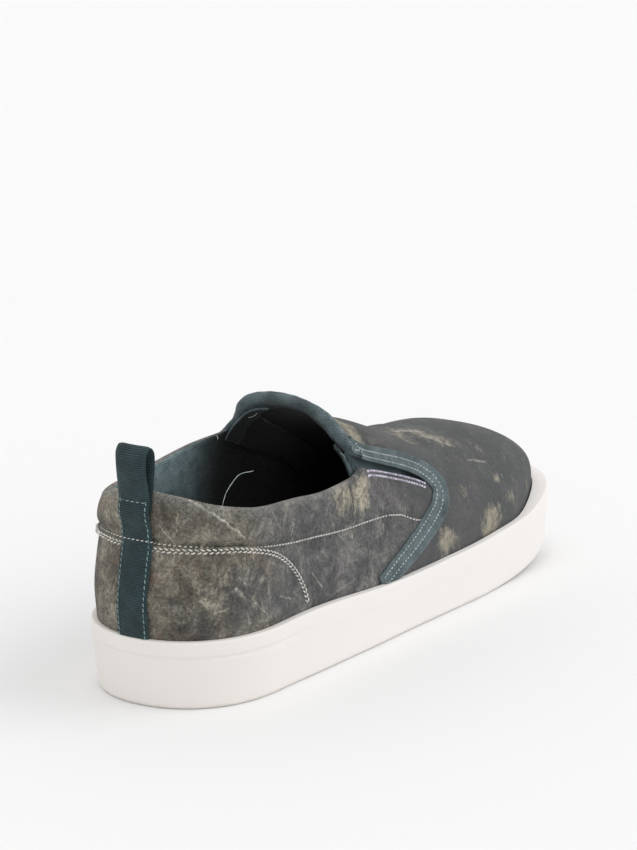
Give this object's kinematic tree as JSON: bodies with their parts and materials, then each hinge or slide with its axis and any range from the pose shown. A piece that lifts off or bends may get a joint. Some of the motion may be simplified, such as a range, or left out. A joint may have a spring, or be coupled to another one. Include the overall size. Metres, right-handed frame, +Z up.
{
  "type": "slip-on sneaker",
  "caption": "Low canvas slip-on shoe for the right foot, with a rubber cup sole, padded collar, elastic side panels and a heel pull loop.",
  "frame": {"origin": "on the floor under the middle of the shoe's outer box", "axes": "+X from the heel to the toe, +Y from the outer to the inner side of the foot, +Z up"},
  "size_m": [0.2972, 0.096, 0.1076],
  "materials": {
    "sole_rubber": "satin moulded rubber",
    "footbed": "matt cloth over foam",
    "canvas": "washed mottled canvas",
    "elastic": "matt ribbed elastic",
    "tape": "matt woven tape",
    "webbing": "ribbed grosgrain"
  },
  "bodies": {
    "root": {"cupsole": "sole_rubber", "insole": "footbed", "upper": "canvas", "gore_lateral": "elastic", "gore_medial": "elastic", "vamp_tape_lateral": "tape", "vamp_tape_medial": "tape", "heel_counter": "canvas", "pull_loop": "webbing"}
  },
  "joints": []
}
